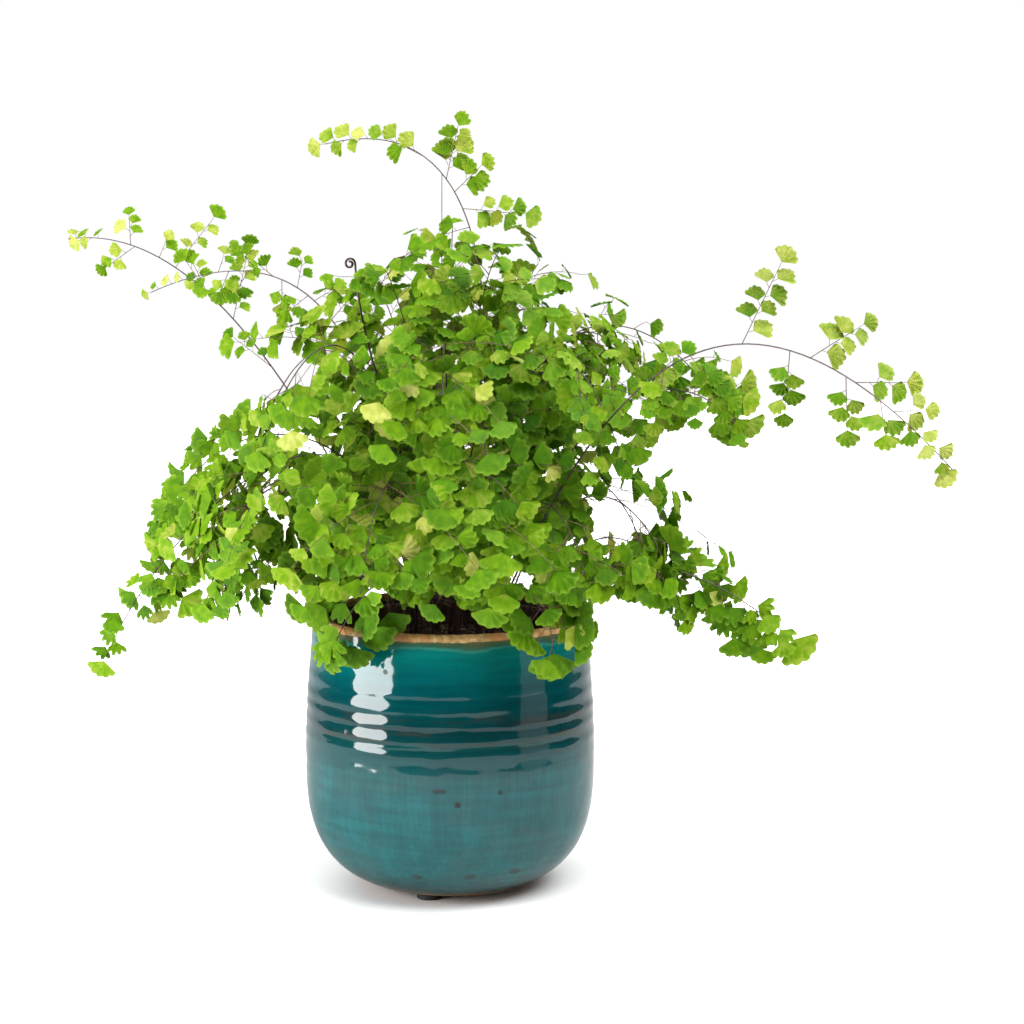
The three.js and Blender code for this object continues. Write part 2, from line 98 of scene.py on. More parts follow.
def scaled(tree, value, low, high, to_low=0.0, to_high=1.0):
    """A value stretched from one range to another and held inside it."""
    ends = {"Value": value, "From Min": low, "From Max": high, "To Min": to_low, "To Max": to_high}
    return add_node(tree, "MapRange", ends, interpolation_type="SMOOTHSTEP").outputs[0]


def add_object(name, data):
    """A new object in the scene with that mesh or curve."""
    piece = bpy.data.objects.new(name, data)
    bpy.context.scene.collection.objects.link(piece)
    return piece


def empty_material(name):
    """A new material, its empty node tree, and the place on the object that it is read at."""
    material = bpy.data.materials.new(name)
    material.use_nodes = True
    tree = material.node_tree
    tree.nodes.clear()
    return material, tree, add_node(tree, "TexCoord").outputs["Object"]


world = bpy.data.worlds.new("white_studio")
world.use_nodes = True
bpy.context.scene.world = world
tree = world.node_tree
tree.nodes.clear()
direction = add_node(tree, "SeparateXYZ", {0: add_node(tree, "TexCoord").outputs["Generated"]})
behind = scaled(tree, direction.outputs["Y"], 0.26, 0.60, 0.03, 0.24)
above = scaled(tree, direction.outputs["Z"], 0.35, 0.80, 0.0, 1.3)
surroundings = add_node(tree, "Background", {"Strength": calculate(tree, "MAXIMUM", behind, above)})
backdrop = add_node(tree, "Background", {"Color": (1, 1, 1, 1), "Strength": 1.0})
seen_directly = add_node(tree, "LightPath").outputs["Is Camera Ray"]
both = add_node(tree, "MixShader", {0: seen_directly, 1: surroundings.outputs[0], 2: backdrop.outputs[0]})
add_node(tree, "OutputWorld", {"Surface": both.outputs[0]})

CARD_RADIUS = 0.50
CARD_BACK = 2.4
CARD_SIDE = 2.2
SHADOW_MIDDLE = (0.022, -0.012, 0)
outline = [(-CARD_SIDE, CARD_BACK)]
for degrees in range(-105, 106, 7):
    turn = math.radians(degrees)
    outline.append((CARD_RADIUS * math.sin(turn), -CARD_RADIUS * math.cos(turn)))
outline.append((CARD_SIDE, CARD_BACK))
mesh = bpy.data.meshes.new("white_card")
mesh.from_pydata([(x, y, 0) for x, y in outline], [], [list(range(len(outline)))])
card = add_object("white_card", mesh)
material, tree, place = empty_material("white_card")
# Painted light: the card's glow, none by the foot, rising away from it, on the left and towards the back.
from_foot = add_node(tree, "VectorMath", {0: place, 1: SHADOW_MIDDLE}, operation="DISTANCE")
glow_round_foot = scaled(tree, from_foot.outputs["Value"], 0.048, 0.10, 0.0, 0.20)
where = add_node(tree, "SeparateXYZ", {0: place})
left = scaled(tree, where.outputs["X"], -0.035, -0.075, 0.0, 0.2)
far = scaled(tree, where.outputs["Y"], 0.10, 0.55, 0.0, 0.7)
painted_glow = calculate(tree, "ADD", calculate(tree, "ADD", glow_round_foot, left), far)
white = add_node(tree, "BsdfPrincipled", {"Base Color": (0.86, 0.86, 0.86, 1), "Roughness": 0.9})
white.inputs["Specular IOR Level"].default_value = 0.1
white.inputs["Emission Color"].default_value = (1, 1, 1, 1)
tree.links.new(painted_glow, white.inputs["Emission Strength"])
grey = add_node(tree, "BsdfDiffuse", {"Color": (0.52, 0.52, 0.52, 1)})
mirrored = add_node(tree, "LightPath").outputs["Is Glossy Ray"]
sheet = add_node(tree, "MixShader", {0: mirrored, 1: white.outputs[0], 2: grey.outputs[0]})
add_node(tree, "OutputMaterial", {"Surface": sheet.outputs[0]})
card.data.materials.append(material)


def add_softbox(name, place, target, width, height, strength, shape="RECTANGLE"):
    """A soft box turned towards its target, its power in proportion to its width by its height."""
    turn = (Vector(target) - Vector(place)).to_track_quat("-Z", "Y").to_euler()
    bpy.ops.object.light_add(type="AREA", location=place, rotation=turn)
    box = bpy.context.object
    box.name = name
    box.data.shape = shape
    box.data.size = width
    box.data.size_y = height
    box.data.energy = strength * math.pi * width * height
    box.visible_camera = False


add_softbox("tall_softbox", (-0.846, -0.431, 0.20), (0, 0, 0.20), 0.62, 0.76, 11.2, "ELLIPSE")
add_softbox("wide_softbox", (0.60, -0.45, 1.35), (0, 0, 0.2), 1.4, 1.2, 7.5)
add_softbox("pale_panel", (1.124, -0.42, 0.3), (0, 0, 0.3), 0.49, 1.2, 0.6)


# Glazed pot. One piece of tan clay, thrown on a wheel and fired, with a full round base and a neck that
# draws in slightly. Thick teal glaze covers it to just under the lip, which is bare. The glaze is
# darkest and smeared with brown round the shoulder, and it ran in fine streaks lower down.
def paint(red, green, blue):
    """A shader colour from the 8-bit values that a screen shows."""
    shares = [value / 255 for value in (red, green, blue)]
    return (*[((share + 0.055) / 1.055) ** 2.4 if share > 0.04 else share / 12.92 for share in shares], 1)


def add_ramp(tree, value, stops):
    """A colour that changes along (position, 8-bit colour) stops as the value goes from 0 to 1."""
    stops = [(position, paint(*colour)) for position, colour in stops]
    ramp = add_node(tree, "ValToRGB", {"Fac": value})
    elements = ramp.color_ramp.elements
    elements[0].position, elements[0].color = stops[0]
    elements[1].position, elements[1].color = stops[-1]
    for position, colour in stops[1:-1]:
        elements.new(position).color = colour
    return ramp.outputs["Color"]


def add_noise(tree, place, stretch, detail=3.0, roughness=0.55):
    """Noise from 0 to 1 with so many features per metre along X, Y and Z."""
    moved = add_node(tree, "Mapping", {"Vector": place, "Scale": stretch}).outputs[0]
    fine = {"Vector": moved, "Scale": 1.0, "Detail": detail, "Roughness": roughness}
    return add_node(tree, "TexNoise", fine).outputs["Fac"]


def blend(tree, share, first, second, way="MIX"):
    """Two colours mixed by a share."""
    mix = add_node(tree, "Mix", {"Factor": share}, data_type="RGBA", blend_type=way)
    for socket, value in ((mix.inputs[6], first), (mix.inputs[7], second)):
        if isinstance(value, bpy.types.NodeSocket):
            tree.links.new(value, socket)
        else:
            socket.default_value = value
    return mix.outputs[2]


def add_finish(tree, colour, roughness, relief=None, strength=0.0, depth=0.0):
    """A surface of that colour and roughness, with fine relief where it is given; gives its shader."""
    inputs = {"Base Color": colour, "Roughness": roughness}
    if relief is not None:
        bump = add_node(tree, "Bump", {"Height": relief, "Strength": strength, "Distance": depth})
        inputs["Normal"] = bump.outputs[0]
    shader = add_node(tree, "BsdfPrincipled", inputs)
    add_node(tree, "OutputMaterial", {"Surface": shader.outputs[0]})
    return shader


def select_only(*pieces):
    """Those pieces selected and no others, with the last one active."""
    bpy.ops.object.select_all(action="DESELECT")
    for piece in pieces:
        piece.select_set(True)
    bpy.context.view_layer.objects.active = pieces[-1]


def close_mesh(distance):
    """The active piece's points merged where they lie together, and its faces turned outwards."""
    bpy.ops.object.mode_set(mode="EDIT")
    bpy.ops.mesh.select_all(action="SELECT")
    bpy.ops.mesh.remove_doubles(threshold=distance)
    bpy.ops.mesh.normals_make_consistent(inside=False)
    bpy.ops.object.mode_set(mode="OBJECT")


def turned(name, profile, sides):
    """A closed body turned about Z, from (radius, height) points that start and end on the axis."""
    curve = bpy.data.curves.new(name, "CURVE")
    curve.dimensions = "3D"
    line = curve.splines.new("POLY")
    line.points.add(len(profile) - 1)
    for point, (radius, height) in zip(line.points, profile):
        point.co = (radius, 0, height, 1)
    select_only(add_object(name, curve))
    bpy.ops.object.convert(target="MESH")
    bpy.ops.object.mode_set(mode="EDIT")
    bpy.ops.mesh.select_all(action="SELECT")
    bpy.ops.mesh.spin(steps=sides, angle=2 * math.pi, center=(0, 0, 0), axis=(0, 0, 1))
    bpy.ops.object.mode_set(mode="OBJECT")
    close_mesh(1e-6)
    return bpy.context.object


def shade_smooth(piece, degrees):
    """Smooth shading, with a crease wherever faces meet at more than that angle."""
    select_only(piece)
    bpy.ops.object.shade_smooth_by_angle(angle=math.radians(degrees))


def roughen(piece, name, spacing, strength, **settings):
    """The active piece's surface moved by noise, with bumps about so far apart."""
    texture = bpy.data.textures.new(f"{piece.name}_{name}", "CLOUDS")
    texture.noise_scale = spacing
    uneven = piece.modifiers.new(name, "DISPLACE")
    uneven.texture = texture
    uneven.texture_coords = "LOCAL"
    uneven.strength = strength
    for setting, value in settings.items():
        setattr(uneven, setting, value)
    bpy.ops.object.modifier_apply(modifier=uneven.name)


BELLY_RADIUS = 0.070
BELLY_HEIGHT = 0.066
BASE_ROUNDING = 0.0668
NECK_DRAW_IN = 0.004
GLAZE_TOP = 0.131
POT_TOP = 0.134
POT_WALL = 0.005
FOOT_RADIUS = 0.038
# The throwing rings, as (height, how far it stands out, half width) in millimetres
THROWING_RINGS = [
    (126.8, 0.12, 0.9), (124, 0.14, 2.4), (115, 0.22, 2.6), (106.8, 0.26, 2.4), (98.6, 0.34, 2.6),
    (91.4, 0.36, 2.3), (85, 0.32, 2.1), (80.8, 0.06, 0.9), (77.2, 0.24, 2.4), (69, 0.10, 2.6),
    (60, 0.09, 2.8), (50, 0.07, 3.0),
]


def wall_radius(height):
    """The pot's outside at a height: a round base and a neck that draws in."""
    below = max(BELLY_HEIGHT - height, 0) / BASE_ROUNDING
    rise = max(height - BELLY_HEIGHT, 0) / (GLAZE_TOP - BELLY_HEIGHT)
    return BELLY_RADIUS * (1 - below**3) ** (1 / 3) - NECK_DRAW_IN * rise**1.6


def ring_swell(turn, height):
    """How far the throwing rings stand out there; each rises, falls and fades a little round the pot."""
    swell = 0
    for k, (middle, depth, width) in enumerate(THROWING_RINGS):
        level = middle + 0.6 * math.sin(turn + 2.1 * k) + 0.2 * math.sin(5 * turn + 3.3 * k)
        fade = 0.9 + 0.25 * math.sin(2 * turn + 1.7 * k) + 0.2 * math.sin(7 * turn + 2.9 * k)
        swell += depth * fade * math.exp(-(((height * 1000 - level) / width) ** 2))
    return swell / 1000


profile = [(0, 0.0045), (0.024, 0.0045), (0.025, 0.003), (FOOT_RADIUS, 0.003)]
profile += [(wall_radius(height), height) for height in (0.0036, 0.0045, 0.006, 0.008, 0.0105, 0.0135)]
profile += [(wall_radius(0.0009 * step), 0.0009 * step) for step in range(19, 83)]
profile += [(wall_radius(0.0005 * step), 0.0005 * step) for step in range(150, 262)]
lip_middle = wall_radius(GLAZE_TOP) - POT_WALL / 2
for step in range(13):
    turn = math.pi * step / 12
    profile.append((lip_middle + POT_WALL / 2 * math.cos(turn), GLAZE_TOP + 0.003 * math.sin(turn) ** 0.8))
for height in (0.125, 0.118, 0.105, 0.090, 0.066, 0.045, 0.028, 0.018):
    profile.append((wall_radius(height) - POT_WALL, height))
profile += [(wall_radius(0.012) - POT_WALL - 0.003, 0.012), (0, 0.012)]

pot = turned("glazed_pot", profile, 160)
for vertex in pot.data.vertices:
    across = math.hypot(vertex.co.x, vertex.co.y)
    if 0.040 < vertex.co.z < GLAZE_TOP and across > wall_radius(vertex.co.z) - 0.001:
        swell = ring_swell(math.atan2(vertex.co.y, vertex.co.x), vertex.co.z)
        vertex.co.xy *= 1 + swell / across
roughen(pot, "wobble", 0.024, 0.0005)
roughen(pot, "finger_marks", 0.009, 0.00034)
shade_smooth(pot, 60)

material, tree, place = empty_material("teal_glaze_on_tan_clay")
height = add_node(tree, "SeparateXYZ", {0: place}).outputs["Z"]
drift = calculate(tree, "SUBTRACT", add_noise(tree, place, (45, 45, 26), 4), 0.5)
drifted = calculate(tree, "ADD", height, times(tree, drift, 0.009))
# The glaze's colours up the pot, as (height in millimetres, colour). The pale lines at 81 and 127 mm are
# painted highlights along throwing rings, and the darkening from 20 mm down towards the foot is painted
# shade.
GLAZE_AND_PAINTED_LIGHT_BANDS = [
    (2, (52, 44, 30)), (7, (20, 60, 60)), (20, (16, 80, 82)), (45, (13, 78, 81)), (64, (13, 75, 78)),
    (72, (10, 62, 65)), (79, (6, 54, 56)), (81, (13, 60, 60)), (83, (6, 51, 53)), (90, (4, 47, 50)),
    (96, (1, 55, 58)), (104, (0, 61, 65)), (114, (1, 76, 78)), (122, (3, 95, 92)), (126.2, (8, 98, 92)),
    (127, (48, 116, 102)), (128, (42, 84, 68)), (130, (70, 80, 54)), (134, (96, 90, 62)),
]
along = calculate(tree, "DIVIDE", drifted, POT_TOP)
glaze = add_ramp(tree, along, [(level / 1000 / POT_TOP, colour) for level, colour in GLAZE_AND_PAINTED_LIGHT_BANDS])

smears = add_noise(tree, place, (30, 30, 260), 4)
shoulder = scaled(tree, height, 0.078, 0.084)
shoulder = times(tree, shoulder, scaled(tree, height, 0.102, 0.090))
brown = times(tree, scaled(tree, smears, 0.50, 0.68), shoulder)
glaze = blend(tree, times(tree, brown, 0.55), glaze, paint(52, 46, 36))
lower_half = scaled(tree, height, 0.078, 0.066)
brushed = scaled(tree, add_noise(tree, place, (26, 26, 330), 5), 0.30, 0.72, 0.84, 1.14)
streaks = scaled(tree, add_noise(tree, place, (640, 640, 60), 3), 0.34, 0.70, 0.90, 1.10)
runs = scaled(tree, add_noise(tree, place, (80, 80, 22), 3), 0.35, 0.70, 0.88, 1.12)
streaked = times(tree, streaks, runs)
streaked = add_node(tree, "Mix", {"Factor": lower_half, 2: 1.0, 3: streaked}).outputs[0]
uneven_glaze = times(tree, brushed, streaked)
uneven_glaze = add_node(tree, "CombineXYZ", {0: uneven_glaze, 1: uneven_glaze, 2: uneven_glaze}).outputs[0]
glaze = blend(tree, 1.0, glaze, uneven_glaze, "MULTIPLY")
clouds = scaled(tree, add_noise(tree, place, (38, 38, 60), 4), 0.46, 0.72, 0.0, 0.4)
glaze = blend(tree, times(tree, clouds, lower_half), glaze, paint(44, 70, 70))

cells = add_node(tree, "Mapping", {"Vector": place, "Scale": (420, 420, 300)}).outputs[0]
crackle = add_node(tree, "TexVoronoi", {"Vector": cells, "Scale": 1.0}, feature="DISTANCE_TO_EDGE")
cracks = scaled(tree, crackle.outputs["Distance"], 0.07, 0.0, 0.0, 0.18)
glaze = blend(tree, times(tree, cracks, lower_half), glaze, paint(14, 58, 58))
specks = scaled(tree, add_noise(tree, place, (900, 900, 900), 2), 0.66, 0.74)
glaze = blend(tree, times(tree, specks, 0.5), glaze, paint(20, 40, 36))

# Pits and iron spots in the glaze, as (degrees right of the front, height, half width and half height in
# millimetres, how dark)
SPOTS = [
    (-43, 85.5, 1.2, 1.2, 0.9), (-25, 116, 1.2, 1.0, 0.9), (-3, 61.5, 3.6, 1.0, 0.7), (4, 55, 1.6, 1.4, 0.9),
    (20.5, 60, 1.2, 1.2, 0.8), (-14, 17.5, 3.0, 1.6, 0.6), (10, 18, 3.0, 1.8, 0.6), (31, 19, 3.4, 1.8, 0.6),
    (-30, 104.5, 0.7, 0.7, 0.8), (36, 99, 0.9, 0.7, 0.8), (128, 52, 1.4, 1.4, 0.9), (205, 88, 1.2, 1.0, 0.9),
    (262, 23, 3.0, 1.6, 0.6), (160, 110, 1.0, 1.0, 0.8),
]
spotted = None
for degrees, *sizes, darkness in SPOTS:
    level, half_width, half_height = [size / 1000 for size in sizes]
    turn = math.radians(degrees)
    middle = (wall_radius(level) * math.sin(turn), -wall_radius(level) * math.cos(turn), level)
    offset = add_node(tree, "VectorMath", {0: place, 1: middle}, operation="SUBTRACT").outputs[0]
    size = (1 / half_width, 1 / half_width, 1 / half_height)
    within = add_node(tree, "VectorMath", {0: offset, 1: size}, operation="MULTIPLY").outputs[0]
    far = add_node(tree, "VectorMath", {0: within}, operation="LENGTH").outputs["Value"]
    spot = scaled(tree, far, 1.15, 0.7, 0.0, darkness)
    spotted = spot if spotted is None else calculate(tree, "MAXIMUM", spotted, spot)
glaze = blend(tree, spotted, glaze, paint(38, 34, 28))

ragged = times(tree, add_noise(tree, place, (160, 160, 160), 3), 0.0016)
ragged = calculate(tree, "ADD", height, ragged)
lip = scaled(tree, ragged, 0.1312, 0.1318)
foot = scaled(tree, ragged, 0.0062, 0.0054)
bare = calculate(tree, "MAXIMUM", lip, foot)
grain = add_noise(tree, place, (420, 420, 420), 5)
clay = add_ramp(tree, grain, [(0.25, (112, 84, 44)), (0.5, (164, 130, 76)), (0.75, (206, 178, 122))])
scorched = scaled(tree, add_noise(tree, place, (70, 70, 70), 4), 0.45, 0.65, 0.0, 0.75)
clay = blend(tree, scorched, clay, paint(170, 108, 54))
clay = blend(tree, times(tree, foot, 0.6), clay, paint(96, 66, 36))
colour = blend(tree, bare, glaze, clay)
gloss = add_node(tree, "Mix", {"Factor": bare, 2: 0.06, 3: 0.75}).outputs[0]
gloss = calculate(tree, "ADD", gloss, times(tree, spotted, 0.35))
relief = times(tree, grain, times(tree, bare, 0.5))
relief = calculate(tree, "ADD", relief, times(tree, brushed, 0.04))
relief = calculate(tree, "SUBTRACT", relief, times(tree, spotted, 0.6))
shader = add_finish(tree, colour, gloss, relief, 0.35, 0.0004)
shader.inputs["IOR"].default_value = 1.5
pot.data.materials.append(material)
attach(pot, "root")
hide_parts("pot")


# Rubber pads. Three round black feet glued under the pot's foot ring, so that it doesn't scratch the
# table. Each is a punched disc of dense rubber with its edges slightly rounded.
PAD_RADIUS = 0.006
PAD_HEIGHT = 0.0027
PAD_CIRCLE = 0.031

material, tree, place = empty_material("black_rubber")
dust = add_noise(tree, place, (700, 700, 700), 4)
rubber = add_ramp(tree, dust, [(0.35, (20, 20, 20)), (0.6, (34, 33, 32)), (0.75, (58, 56, 53))])
add_finish(tree, rubber, scaled(tree, dust, 0.3, 0.7, 0.65, 0.9), dust, 0.3, 0.0002)

for index, bearing in enumerate((252, 12, 132)):
    middle = Vector((math.cos(math.radians(bearing)), math.sin(math.radians(bearing)), 0)) * PAD_CIRCLE
    middle.z = PAD_HEIGHT / 2
    bpy.ops.mesh.primitive_cylinder_add(vertices=40, radius=PAD_RADIUS, depth=PAD_HEIGHT, location=middle)
    pad = bpy.context.object
    pad.name = f"rubber_pad_{index + 1}"
    bpy.ops.object.transform_apply(location=True)
    rounding = pad.modifiers.new("rounded_edge", "BEVEL")
    rounding.width = 0.0005
    rounding.segments = 3
    bpy.ops.object.modifier_apply(modifier=rounding.name)
    shade_smooth(pad, 35)
    pad.data.materials.append(material)
    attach(pad, "root")
    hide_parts(f"foot_pad_{index + 1}")


# Nursery pot. A thin brown plastic pot, moulded with a flat flange round its rim, that stands loosely
# inside the glazed one. Only its rim shows, between the stems.
LINER_WALL = 0.0012
LINER_FLOOR = 0.0123
LINER_TOP = 0.1293
DRAIN_RADIUS = 0.0045
DRAIN_CIRCLE = 0.028
profile = [
    (0, LINER_FLOOR), (0.0435, LINER_FLOOR), (0.044, LINER_FLOOR + 0.0006), (0.0562, 0.1258),
    (0.059, 0.1258), (0.0595, 0.1264), (0.0595, 0.1287), (0.059, LINER_TOP), (0.056, LINER_TOP),
    (0.0553, 0.1287), (0.0428, LINER_FLOOR + LINER_WALL), (0, LINER_FLOOR + LINER_WALL),
]
liner = turned("nursery_liner", profile, 96)
plugs = []
for bearing in (0, 90, 180, 270):
    middle = Matrix.Rotation(math.radians(bearing), 3, "Z") @ Vector((DRAIN_CIRCLE, 0, LINER_FLOOR))
    bpy.ops.mesh.primitive_cylinder_add(vertices=24, radius=DRAIN_RADIUS, depth=0.006, location=middle)
    plugs.append(bpy.context.object)
select_only(*reversed(plugs))
bpy.ops.object.join()
drains = liner.modifiers.new("drain_holes", "BOOLEAN")
drains.operation = "DIFFERENCE"
drains.object = bpy.context.object
drains.solver = "EXACT"
select_only(liner)
bpy.ops.object.modifier_apply(modifier=drains.name)
bpy.data.objects.remove(plugs[0])
shade_smooth(liner, 35)

material, tree, place = empty_material("brown_plastic")
scuffs = add_noise(tree, place, (300, 300, 90), 5)
plastic = add_ramp(tree, scuffs, [(0.3, (64, 42, 30)), (0.55, (82, 55, 40)), (0.72, (112, 86, 66))])
add_finish(tree, plastic, scaled(tree, scuffs, 0.3, 0.7, 0.38, 0.6), scuffs, 0.15, 0.0002)
liner.data.materials.append(material)
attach(liner, "root")
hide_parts("grow_pot")


# Potting soil. A low rough mound of dark peat and bark that fills the nursery pot, with loose crumbs of
# both on top. The stems rise out of it.
SOIL_EDGE = 0.118
SOIL_CROWN = 0.125
SOIL_RADIUS = 0.0533
profile = [(0, 0.0138), (0.0418, 0.0138), (SOIL_RADIUS, SOIL_EDGE - 0.001)]
profile += [
    (SOIL_RADIUS * share, SOIL_EDGE + (SOIL_CROWN - SOIL_EDGE) * (1 - share**2))
    for share in [1 - step / 26 for step in range(1, 26)]
]
profile.append((0, SOIL_CROWN))
soil = turned("potting_mix", profile, 120)
top = soil.vertex_groups.new(name="top")
top.add([v.index for v in soil.data.vertices if v.co.z > SOIL_EDGE + 0.0002], 1.0, "REPLACE")
roughen(soil, "lumps", 0.011, 0.0042, direction="Z", vertex_group="top")
roughen(soil, "crumbs", 0.0032, 0.0022, direction="Z", vertex_group="top")
shade_smooth(soil, 80)

material, tree, place = empty_material("potting_soil")
lumps = add_noise(tree, place, (260, 260, 260), 6, 0.65)
peat = add_ramp(tree, lumps, [(0.3, (20, 13, 9)), (0.52, (48, 33, 23)), (0.68, (84, 62, 44))])
add_finish(tree, peat, 0.95, lumps, 0.8, 0.001)
soil.data.materials.append(material)
bark, tree, place = empty_material("bark_crumb")
shade = add_noise(tree, place, (180, 180, 180), 4)
chips = add_ramp(tree, shade, [(0.3, (40, 26, 17)), (0.5, (86, 60, 40)), (0.7, (150, 122, 88))])
add_finish(tree, chips, 0.9, shade, 0.5, 0.0005)
soil.data.materials.append(bark)

CRUMBS = 420
BARK_SHARE = 0.35
draw = random.Random("crumbs")
bpy.ops.mesh.primitive_ico_sphere_add(subdivisions=1, radius=1)
lump = bpy.context.object
lump.data.materials.append(material)
lump.data.materials.append(bark)
crumbs = []
for _ in range(CRUMBS):
    share = math.sqrt(draw.random()) * 0.97
    turn = draw.uniform(0, 2 * math.pi)
    level = SOIL_EDGE + (SOIL_CROWN - SOIL_EDGE) * (1 - share**2) + draw.uniform(-0.0003, 0.0012)
    size = draw.uniform(0.0006, 0.0021)
    crumb = add_object("crumb", lump.data.copy())
    spun = draw.uniform(0, math.pi)
    spin = Matrix.Rotation(spun, 4, Vector([draw.random() for _ in range(3)]))
    stretch = Matrix.Diagonal((size, size * draw.uniform(0.5, 1), size * draw.uniform(0.3, 0.7), 1))
    middle = Vector((SOIL_RADIUS * share * math.cos(turn), SOIL_RADIUS * share * math.sin(turn), level))
    crumb.data.transform(Matrix.Translation(middle) @ spin @ stretch)
    kind = int(draw.random() < BARK_SHARE)
    for face in crumb.data.polygons:
        face.material_index = kind
    crumbs.append(crumb)
select_only(*crumbs, soil)
bpy.ops.object.join()
bpy.data.objects.remove(lump)
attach(soil, "root")
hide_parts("soil")


# Leaflets. Thin soft blades shaped like a fan, wedge-shaped at the foot, their outer margin cut into
# rounded lobes. Those beside a branch are lopsided, with a straight edge towards the branch's foot.
# Fine veins spread from the foot to the margin. Each is one closed blade, a unit long, to be copied.
def leaflet_form(name, lobes, start, end, cut, reach, cup):
    """A blade along +Y that faces +Z, between two angles from +Y towards +X, in degrees. The cut is the
    lobes' depth, reach gives the blade's length at an angle, and cup is how far its margin bends down."""
    columns = 3 * lobes
    bpy.ops.mesh.primitive_grid_add(x_subdivisions=columns, y_subdivisions=2, size=2)
    blade = bpy.context.object
    blade.name = name
    bpy.ops.object.mode_set(mode="EDIT")
    bpy.ops.mesh.duplicate()
    bpy.ops.mesh.flip_normals()
    bpy.ops.object.mode_set(mode="OBJECT")
    for k, vertex in enumerate(blade.data.vertices):
        across, out = (vertex.co.x + 1) / 2, (vertex.co.y + 1) / 2
        underside = k >= len(blade.data.vertices) // 2
        middle = 0.1 < out < 0.9 and 0.01 < across < 0.99
        degrees = start + (end - start) * across
        lobe = 1 - cut * (1 - abs(math.sin(math.pi * lobes * across)))
        length = reach(degrees) * (out * lobe if out > 0.9 else 0.6 * min(out * 2, 1))
        ruffle = 0.05 * out * math.cos(2 * math.pi * lobes * across + 0.8)
        level = ruffle - cup * length**2 - (0.03 if underside and middle else 0)
        angle = math.radians(degrees)
        vertex.co = (length * math.sin(angle), length * math.cos(angle), level)
    close_mesh(1e-4)
    shade_smooth(blade, 60)
    blade.data.color_attributes.new("tint", "FLOAT_COLOR", "POINT")
    return blade


def level_reach(degrees):
    return 1.0


def lopsided_reach(degrees):
    return 0.74 + 0.26 * math.cos(math.radians(abs(degrees) - 30) * 1.5)


LEAFLET_FORMS = [
    ("fan", 5, -66, 66, 0.10, level_reach, 0.10),
    ("side_plus", 5, -34, 88, 0.11, lopsided_reach, 0.12),
    ("side_minus", 5, -88, 34, 0.11, lopsided_reach, 0.12),
    ("cut_plus", 4, -38, 80, 0.30, lopsided_reach, 0.10),
    ("cut_minus", 4, -80, 38, 0.30, lopsided_reach, 0.10),
]
forms = {name: leaflet_form(name, *shape) for name, *shape in LEAFLET_FORMS}

leaf_green, tree, place = empty_material("fern_leaf")
tint = add_node(tree, "Attribute", attribute_name="tint")
tint = add_node(tree, "SeparateColor", {0: tint.outputs["Color"]})
mottle = add_noise(tree, place, (260, 260, 260), 3)
# The tint's red share holds each leaflet's painted light and shade as well as its random tone.
tone = calculate(tree, "ADD", tint.outputs["Red"], scaled(tree, mottle, 0.3, 0.7, -0.12, 0.12))
LEAF_TONES = [
    (0.0, (50, 94, 0)), (0.3, (82, 130, 2)), (0.55, (118, 158, 12)), (0.8, (176, 184, 76)),
    (1.0, (206, 208, 116)),
]
green = add_ramp(tree, tone, LEAF_TONES)
green = blend(tree, tint.outputs["Green"], green, paint(50, 124, 30))
green = blend(tree, tint.outputs["Blue"], green, paint(140, 120, 34))
over_blade = add_node(tree, "SeparateXYZ", {0: add_node(tree, "TexCoord").outputs["UV"]})
margin = scaled(tree, over_blade.outputs["Y"], 0.70, 1.0, 0.0, 0.26)
green = blend(tree, margin, green, paint(176, 208, 74))
VEINS = 22
rays = calculate(tree, "SINE", times(tree, over_blade.outputs["X"], 2 * math.pi * VEINS))
from_foot = scaled(tree, over_blade.outputs["Y"], 0.05, 0.4)
veins = times(tree, scaled(tree, rays, 0.55, 1.0), from_foot)
green = blend(tree, times(tree, veins, 0.18), green, paint(160, 196, 70))
bump = add_node(tree, "Bump", {"Height": veins, "Strength": 0.25, "Distance": 0.0003})
face = add_node(tree, "BsdfPrincipled", {"Base Color": green, "Roughness": 0.55, "Normal": bump.outputs[0]})
face.inputs["Specular IOR Level"].default_value = 0.12
through = add_node(tree, "BsdfTranslucent", {"Color": blend(tree, 0.45, green, paint(176, 204, 14))})
lit_through = add_node(tree, "MixShader", {0: 0.34, 1: face.outputs[0], 2: through.outputs[0]})
add_node(tree, "OutputMaterial", {"Surface": lit_through.outputs[0]})
for form in forms.values():
    form.data.materials.append(leaf_green)


# Stems and branches. A wiry, polished purple-black stem, thin as pencil lead, that pales to reddish
# brown and olive in the thread-thin branches. Radii are in millimetres, at the foot and at the tip.
STEM_RADII = (0.55, 0.22)
BRANCH_RADII = (0.21, 0.13)
THREAD_RADII = (0.14, 0.11)
STALK_RADII = (0.12, 0.09)
STALK_LENGTH = 0.0022
STALK_LIFT = 0.0014

stem_dark, tree, place = empty_material("polished_stem")
shade = add_noise(tree, place, (220, 220, 60), 3)
rind = add_ramp(tree, shade, [(0.3, (34, 18, 22)), (0.55, (58, 32, 34)), (0.75, (96, 58, 52))])
add_finish(tree, rind, 0.32)

twig_brown, tree, place = empty_material("thread_thin_twig")
shade = add_noise(tree, place, (160, 160, 160), 3)
rind = add_ramp(tree, shade, [(0.3, (60, 36, 30)), (0.55, (96, 66, 46)), (0.75, (130, 120, 60))])
add_finish(tree, rind, 0.45)


def evenly(points, count):
    """The same line as that many points at equal distances."""
    travelled = [0.0]
    for one, other in zip(points, points[1:]):
        travelled.append(travelled[-1] + (other - one).length)
    spaced, segment = [], 0
    for step in range(count):
        goal = travelled[-1] * step / (count - 1)
        while segment < len(points) - 2 and travelled[segment + 1] < goal:
            segment += 1
        share = (goal - travelled[segment]) / (travelled[segment + 1] - travelled[segment])
        spaced.append(points[segment].lerp(points[segment + 1], min(share, 1)))
    return spaced


